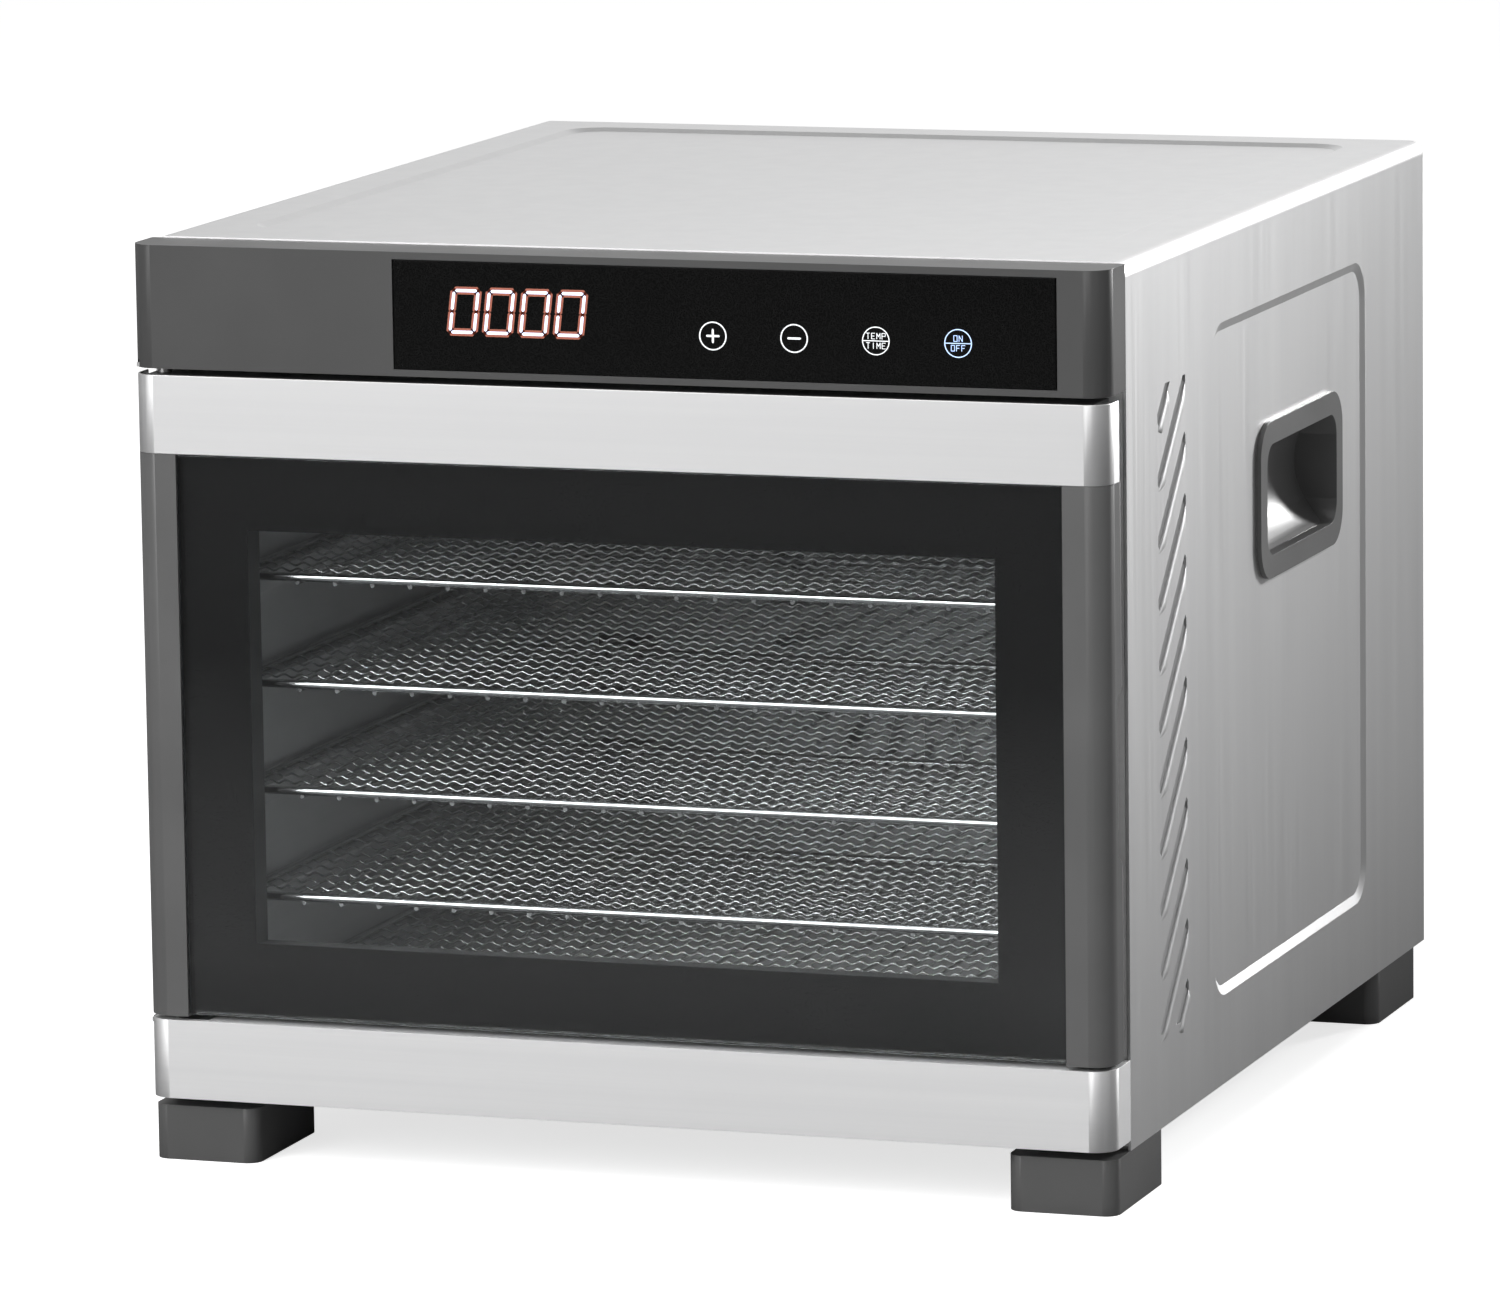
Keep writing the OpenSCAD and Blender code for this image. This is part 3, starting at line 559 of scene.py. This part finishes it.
def ring(cx, cz, radius, width, start=0.0, end=360.0, steps=40):
    """A round line as short quads."""
    quads = []
    for i in range(steps):
        a0 = math.radians(start + (end - start) * i / steps)
        a1 = math.radians(start + (end - start) * (i + 1) / steps)
        r0, r1 = radius - width / 2, radius + width / 2
        quads.append([
            (cx + r * math.cos(a), cz + r * math.sin(a))
            for r, a in ((r0, a0), (r1, a0), (r1, a1), (r0, a1))
        ])
    return quads


# %% Digits
DIGIT_GLOW = glow("DigitGlow", (0.66, 0.76, 1.0), 1.15)
KEY_PRINT = glow("KeyPrint", (0.78, 0.80, 0.82), 0.55)
KEY_BLUE = glow("KeyBlue", (0.45, 0.60, 0.90), 0.8)
HALO = glow("DigitHalo", (0.35, 0.10, 0.06), 0.12)
DIGIT_W, DIGIT_H, DIGIT_PITCH = 8.6 * MM, 14.0 * MM, 12.6 * MM
SLANT = math.tan(math.radians(7))
display_low, display_high = (Vector(c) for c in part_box("display_module"))
digits_x = (display_low.x + display_high.x) / 2
digits_z = (display_low.z + display_high.z) / 2


def zero_bars(cx, cz, t=1.0 * MM, cut=0.9 * MM):
    """The six lit bars of a zero."""
    w, h = DIGIT_W / 2, DIGIT_H / 2
    spans = [(-w + cut, h, w - cut, h), (-w + cut, -h, w - cut, -h)]
    for x in (-w, w):
        spans += [(x, cut, x, h - cut), (x, -h + cut, x, -cut)]
    lines = []
    for x0, z0, x1, z1 in spans:
        outline = bar(x0, z0, x1, z1, t)
        lines.append([(cx + x + z * SLANT, cz + z) for x, z in outline])
    return lines


digit_bars, halo_bars = [], []
for i in range(4):
    digit_bars += zero_bars(digits_x + (i - 1.5) * DIGIT_PITCH, digits_z)
    halo_bars += zero_bars(digits_x + (i - 1.5) * DIGIT_PITCH, digits_z, 2.6 * MM, 0.4 * MM)
prism("display_digits", digit_bars, DIGIT_GLOW)
prism("display_halo", halo_bars, HALO, thick=MARK_T / 3)
print("digit bars:", len(digit_bars))

# %% [markdown]
# ### Key marks
# The four keys are rings with plain signs or two short words. The words use a tiny stroke alphabet:
# each letter is a list of bars on a unit grid.

# %% Keys
STROKES = {
    "T": [(0, 1, 1, 1), (0.5, 0, 0.5, 1)],
    "E": [(0, 0, 0, 1), (0, 1, 1, 1), (0, 0.5, 0.8, 0.5), (0, 0, 1, 0)],
    "M": [(0, 0, 0, 1), (0, 1, 0.5, 0.4), (0.5, 0.4, 1, 1), (1, 1, 1, 0)],
    "P": [(0, 0, 0, 1), (0, 1, 1, 1), (1, 1, 1, 0.5), (1, 0.5, 0, 0.5)], "I": [(0.5, 0, 0.5, 1)],
    "O": [(0, 0, 0, 1), (0, 1, 1, 1), (1, 1, 1, 0), (1, 0, 0, 0)],
    "N": [(0, 0, 0, 1), (0, 1, 1, 0), (1, 0, 1, 1)],
    "F": [(0, 0, 0, 1), (0, 1, 1, 1), (0, 0.5, 0.8, 0.5)],
}


def word(text, cx, cz, height, width=0.22 * MM):
    """Bars that spell a word, centred at (cx, cz)."""
    wide, gap = height * 0.6, height * 0.35
    x = cx - (len(text) * wide + (len(text) - 1) * gap) / 2
    lines = []
    for letter in text:
        for x0, z0, x1, z1 in STROKES[letter]:
            low, high = cz + (z0 - 0.5) * height, cz + (z1 - 0.5) * height
            lines.append(bar(x + x0 * wide, low, x + x1 * wide, high, width))
        x += wide + gap
    return lines


spring_low, spring_high = (Vector(c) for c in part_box("key_springs"))
KEY_R = 4.6 * MM
SPRING_R = 3.6 * MM
LINE = 0.42 * MM
SIGN_HALF = 2.1 * MM
SIGN_W = 0.7 * MM
WORD_H = 1.9 * MM
WORD_UP = 1.6 * MM
key_z = (spring_low.z + spring_high.z) / 2
key_first = spring_low.x + SPRING_R
key_step = (spring_high.x - spring_low.x - 2 * SPRING_R) / 3
key_x = [key_first + i * key_step for i in range(4)]
marks = []
for x in key_x[:2]:
    marks += ring(x, key_z, KEY_R, LINE)
    marks.append(bar(x - SIGN_HALF, key_z, x + SIGN_HALF, key_z, SIGN_W))
marks.append(bar(key_x[0], key_z - SIGN_HALF, key_x[0], key_z + SIGN_HALF, SIGN_W))
prism("key_marks", marks, KEY_PRINT)


def word_key(name, x, top, low, material):
    """A ring that is split by a line, with one word above it and one below."""
    lines = ring(x, key_z, KEY_R, LINE * 0.8)
    lines.append(bar(x - KEY_R, key_z, x + KEY_R, key_z, LINE * 0.7))
    lines += word(top, x, key_z + WORD_UP, WORD_H)
    lines += word(low, x, key_z - WORD_UP, WORD_H)
    prism(name, lines, material)


word_key("temp_time_key", key_x[2], "TEMP", "TIME", KEY_PRINT)
word_key("on_off_key", key_x[3], "ON", "OFF", KEY_BLUE)
print("key marks:", len(marks))

# %% [markdown]
# ## Floor, light and camera
# The object stands on a pale floor under soft studio light. Big soft lamps light the front and the top,
# and a narrow soft cone lights the front half of the side sheet. In reflections the floor is darker
# than it looks, apart from a lighter strip just before the bottom band. That keeps the glass dark.

# %% Stage
floor_mesh = bpy.data.meshes.new("floor")
floor_mesh.from_pydata([(-8, -8, 0), (8, -8, 0), (8, 8, 0), (-8, 8, 0)], [], [(0, 1, 2, 3)])
floor = bpy.data.objects.new("floor", floor_mesh)
bpy.context.collection.objects.link(floor)
FLOOR, floor_tree, floor_shader = new_material("PaleFloor", (0.92, 0.92, 0.92), roughness=0.9)
floor_path = add(floor_tree, "ShaderNodeLightPath")
floor_seen = add(floor_tree, "ShaderNodeMix", data_type="RGBA")
floor_seen.inputs["A"].default_value = (0.80, 0.80, 0.80, 1.0)
floor_place = add(floor_tree, "ShaderNodeTexCoord")
floor_axes = add(floor_tree, "ShaderNodeSeparateXYZ")
floor_tree.links.new(floor_place.outputs["Object"], floor_axes.inputs[0])
FLOOR_GREYS = ((-1.2, 0.04), (-0.55, 0.34), (-0.15, 0.08), (0.6, 0.34))
SWEEP_FROM, SWEEP_TO = FLOOR_GREYS[0][0], FLOOR_GREYS[-1][0]
floor_sweep = spread(floor_tree, floor_axes.outputs["Y"], 0.0, 1.0)
floor_sweep.node.inputs["From Min"].default_value = SWEEP_FROM
floor_sweep.node.inputs["From Max"].default_value = SWEEP_TO
floor_ramp = add(floor_tree, "ShaderNodeValToRGB")
stops = floor_ramp.color_ramp.elements
for y, _ in FLOOR_GREYS[1:-1]:
    stops.new((y - SWEEP_FROM) / (SWEEP_TO - SWEEP_FROM))
for stop, (_, grey) in zip(stops, FLOOR_GREYS):
    stop.color = (grey, grey, grey, 1.0)
floor_tree.links.new(floor_sweep, floor_ramp.inputs["Fac"])
floor_tree.links.new(floor_ramp.outputs["Color"], floor_seen.inputs["B"])
floor_tree.links.new(floor_path.outputs["Is Glossy Ray"], floor_seen.inputs["Factor"])
floor_tree.links.new(floor_seen.outputs["Result"], floor_shader.inputs["Base Color"])
floor_shader.inputs["Emission Color"].default_value = (1.0, 1.0, 1.0, 1.0)
floor_tree.links.new(
    math_node(floor_tree, "MULTIPLY", floor_path.outputs["Is Camera Ray"], 0.72),
    floor_shader.inputs["Emission Strength"],
)
floor_mesh.materials.append(FLOOR)

world = bpy.data.worlds.new("Studio")
bpy.context.scene.world = world
world.use_nodes = True
world_tree = world.node_tree
world_path = add(world_tree, "ShaderNodeLightPath")
world_tree.nodes["Background"].inputs["Color"].default_value = (1.0, 1.0, 1.0, 1.0)
world_tree.links.new(
    spread(world_tree, world_path.outputs["Is Camera Ray"], 0.30, 1.0),
    world_tree.nodes["Background"].inputs["Strength"],
)


def hang(name, data, place, aim, power):
    """Puts a lamp at place and points it at aim."""
    data.energy = power
    lamp = bpy.data.objects.new(name, data)
    lamp.location = place
    lamp.rotation_euler = (Vector(aim) - Vector(place)).to_track_quat("-Z", "Y").to_euler()
    bpy.context.collection.objects.link(lamp)


def area(name, place, aim, size, power):
    """A square soft lamp at place that points at aim."""
    data = bpy.data.lights.new(name, "AREA")
    data.shape = "SQUARE"
    data.size = size
    hang(name, data, place, aim, power)


area("key_lamp", (-0.9, -2.3, 1.5), (0, 0, 0.15), 1.6, 52)
area("low_lamp", (-0.9, -2.4, 0.50), (0, 0, 0.10), 0.7, 3.5)
area("roof_lamp", (-0.6, 2.6, 1.15), (0, 0, 0.30), 1.6, 5)
area("top_lamp", (0, -0.4, 2.6), (0, 0, 0), 1.8, 21)


def spot(name, place, aim, angle, size, power):
    """A lamp with a soft cone of the given angle in degrees."""
    data = bpy.data.lights.new(name, "SPOT")
    data.spot_size = math.radians(angle)
    data.spot_blend = 1.0
    data.shadow_soft_size = size
    hang(name, data, place, aim, power)


spot("side_lamp", (1.15, 2.1, 0.95), (0.17, -0.50, 0.25), 17, 0.3, 760)

# %% Camera
CAMERA_PLACE = (1.043, -3.072, 0.682)
AZIMUTH, ELEVATION, ROLL = (math.radians(a) for a in (19.11, 9.26, -0.78))
back = Vector((
    math.sin(AZIMUTH) * math.cos(ELEVATION),
    -math.cos(AZIMUTH) * math.cos(ELEVATION),
    math.sin(ELEVATION),
))
right = Vector((0, 0, 1)).cross(back).normalized()
up = back.cross(right)
right, up = (
    right * math.cos(ROLL) + up * math.sin(ROLL), up * math.cos(ROLL) - right * math.sin(ROLL)
)
camera_data = bpy.data.cameras.new("camera")
camera_data.sensor_width = 36.0
camera_data.lens = 222.3
camera_data.clip_end = 50.0
camera = bpy.data.objects.new("camera", camera_data)
turn = Matrix((right, up, back)).transposed().to_4x4()
camera.matrix_world = Matrix.Translation(CAMERA_PLACE) @ turn
bpy.context.collection.objects.link(camera)
bpy.context.scene.camera = camera
bpy.context.scene.view_settings.view_transform = "Standard"
print("camera at", tuple(round(v, 3) for v in camera.location))
